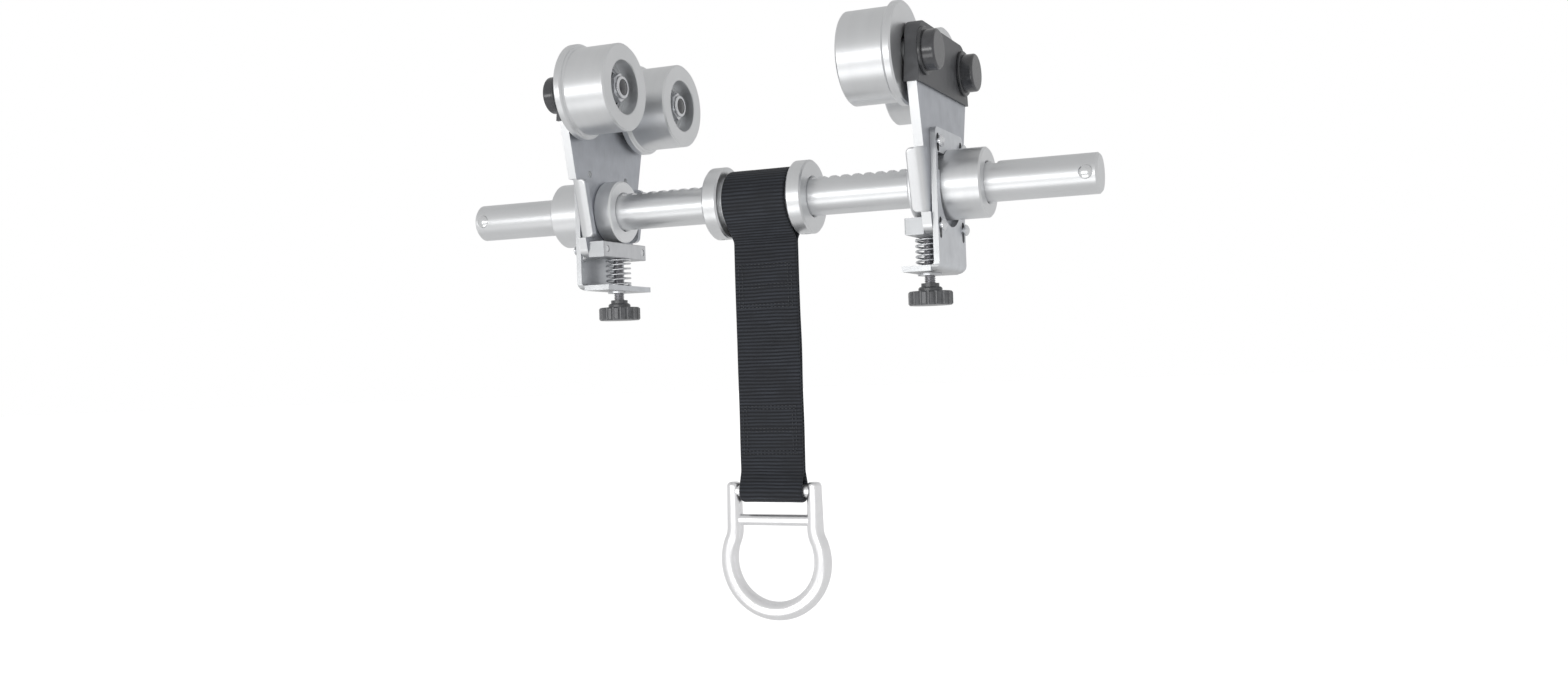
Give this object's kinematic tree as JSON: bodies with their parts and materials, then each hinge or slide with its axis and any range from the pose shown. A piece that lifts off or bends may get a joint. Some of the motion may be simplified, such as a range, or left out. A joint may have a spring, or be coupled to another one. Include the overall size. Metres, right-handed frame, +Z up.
{
  "type": "adjustable beam trolley with sling",
  "caption": "Rolling beam anchor: flanged roller carriages slide and lock on a notched bar, with a swinging webbing sling and D-ring hung from a spool between them.",
  "frame": {"origin": "middle of the beam seat: between the four rollers, at the height of the lowest line of their treads, where the top of the beam's bottom flange comes", "axes": "+X along the round bar, +Y the way the rollers travel along the beam, +Z up; the bar's axis is 54.8 mm below the origin"},
  "size_m": [0.504, 0.1648, 0.438],
  "materials": {
    "bar": "satin zinc-plated round bar with fine lengthwise drawing lines",
    "collar": "turned and clear-zinc plated steel",
    "bush": "turned bearing liner, slightly darker than the collar",
    "roller": "turned steel, clear-zinc plated, satin",
    "bearing": "ground bearing steel",
    "plate": "bluish clear-zinc plated steel plate, matte, with bright cut edges",
    "hardware": "zinc-plated screws, nuts and washers",
    "black_steel": "black-oxide bolt heads and washers, matte",
    "cap": "moulded black bumper cap",
    "spring": "bright spring wire",
    "stud": "threaded rod, oiled and darker than the plates",
    "knob": "moulded dark grey knob with a fluted rim",
    "insert": "threaded insert",
    "webbing": "black ribbed webbing with black stitching",
    "ring": "forged ring, satin plated"
  },
  "bodies": {
    "bar": {"bar": "bar", "stop_pin_left": "hardware", "stop_pin_right": "hardware"},
    "carriage_left": {"side_plate_left": "plate", "bumper_cap_left": "cap", "inner_collar_left": "collar", "outer_collar_left": "collar", "bush_left": "bush", "lock_block_left": "plate", "lock_stud_left": "stud", "guide_screws_left": "hardware", "axle_bolts_left": "black_steel", "axle_nuts_left": "hardware", "bolt_washers_left": "black_steel", "axle_spacers_left": "hardware", "bearing_inner_rings_left": "bearing"},
    "roller_front_left": {"roller_front_left": "roller", "bearing_ring_front_left": "bearing", "bearing_balls_front_left": "bearing"},
    "roller_back_left": {"roller_back_left": "roller", "bearing_ring_back_left": "bearing", "bearing_balls_back_left": "bearing"},
    "lock_left": {"lock_plate_left": "plate", "shelf_washer_left": "hardware", "lock_spring_left": "spring"},
    "knob_insert_left": {"knob_insert_left": "insert"},
    "knob_left": {"knob_left": "knob"},
    "carriage_right": {"side_plate_right": "plate", "bumper_cap_right": "cap", "inner_collar_right": "collar", "outer_collar_right": "collar", "bush_right": "bush", "lock_block_right": "plate", "lock_stud_right": "stud", "guide_screws_right": "hardware", "axle_bolts_right": "black_steel", "axle_nuts_right": "hardware", "bolt_washers_right": "black_steel", "axle_spacers_right": "hardware", "bearing_inner_rings_right": "bearing"},
    "roller_front_right": {"roller_front_right": "roller", "bearing_ring_front_right": "bearing", "bearing_balls_front_right": "bearing"},
    "roller_back_right": {"roller_back_right": "roller", "bearing_ring_back_right": "bearing", "bearing_balls_back_right": "bearing"},
    "lock_right": {"lock_plate_right": "plate", "shelf_washer_right": "hardware", "lock_spring_right": "spring"},
    "knob_insert_right": {"knob_insert_right": "insert"},
    "knob_right": {"knob_right": "knob"},
    "sling": {"spool_hub": "collar", "spool_flange_left": "collar", "spool_flange_right": "collar", "spool_grub_screws": "black_steel", "strap": "webbing"},
    "d_ring": {"d_ring": "ring", "d_ring_pin": "ring"}
  },
  "joints": [
    {"name": "carriage_slide_left", "type": "slide", "parent": "bar", "child": "carriage_left", "axis": [-1, 0, 0], "range_m": [-0.072, 0.036]},
    {"name": "roller_spin_front_left", "type": "hinge", "parent": "carriage_left", "child": "roller_front_left", "pos_m": [-0.1108, -0.0465, 0.0328], "axis": [1, 0, 0], "continuous": true},
    {"name": "roller_spin_back_left", "type": "hinge", "parent": "carriage_left", "child": "roller_back_left", "pos_m": [-0.1108, 0.0465, 0.0328], "axis": [1, 0, 0], "continuous": true},
    {"name": "lock_lift_left", "type": "slide", "parent": "carriage_left", "child": "lock_left", "axis": [0, 0, 1], "range_m": [-0.0028, 0.004], "stiffness_N_per_m": 1500, "springref_m": -0.006, "deforming": ["lock_spring_left"]},
    {"name": "knob_rise_left", "type": "slide", "parent": "carriage_left", "child": "knob_insert_left", "axis": [0, 0, 1], "range_m": [0, 0.0025]},
    {"name": "knob_spin_left", "type": "hinge", "parent": "knob_insert_left", "child": "knob_left", "pos_m": [-0.1276, 0, -0.13], "axis": [0, 0, 1], "range_deg": [0, 720]},
    {"name": "carriage_slide_right", "type": "slide", "parent": "bar", "child": "carriage_right", "axis": [1, 0, 0], "range_m": [-0.072, 0.036]},
    {"name": "roller_spin_front_right", "type": "hinge", "parent": "carriage_right", "child": "roller_front_right", "pos_m": [0.1108, -0.0465, 0.0328], "axis": [1, 0, 0], "continuous": true},
    {"name": "roller_spin_back_right", "type": "hinge", "parent": "carriage_right", "child": "roller_back_right", "pos_m": [0.1108, 0.0465, 0.0328], "axis": [1, 0, 0], "continuous": true},
    {"name": "lock_lift_right", "type": "slide", "parent": "carriage_right", "child": "lock_right", "axis": [0, 0, 1], "range_m": [-0.0028, 0.004], "stiffness_N_per_m": 1500, "springref_m": -0.006, "deforming": ["lock_spring_right"]},
    {"name": "knob_rise_right", "type": "slide", "parent": "carriage_right", "child": "knob_insert_right", "axis": [0, 0, 1], "range_m": [0, 0.0025]},
    {"name": "knob_spin_right", "type": "hinge", "parent": "knob_insert_right", "child": "knob_right", "pos_m": [0.1276, 0, -0.13], "axis": [0, 0, 1], "range_deg": [0, 720]},
    {"name": "sling_swing", "type": "hinge", "parent": "bar", "child": "sling", "pos_m": [0, 0, -0.0548], "axis": [1, 0, 0], "range_deg": [-90, 90]},
    {"name": "d_ring_swing", "type": "hinge", "parent": "sling", "child": "d_ring", "pos_m": [0, 0, -0.2726], "axis": [1, 0, 0], "range_deg": [-150, 150]}
  ],
  "couplings": [
    {"joint": "knob_rise_left", "follows": "knob_spin_left", "m_per_rad": 0.0001989},
    {"joint": "knob_rise_right", "follows": "knob_spin_right", "m_per_rad": 0.0001989}
  ]
}
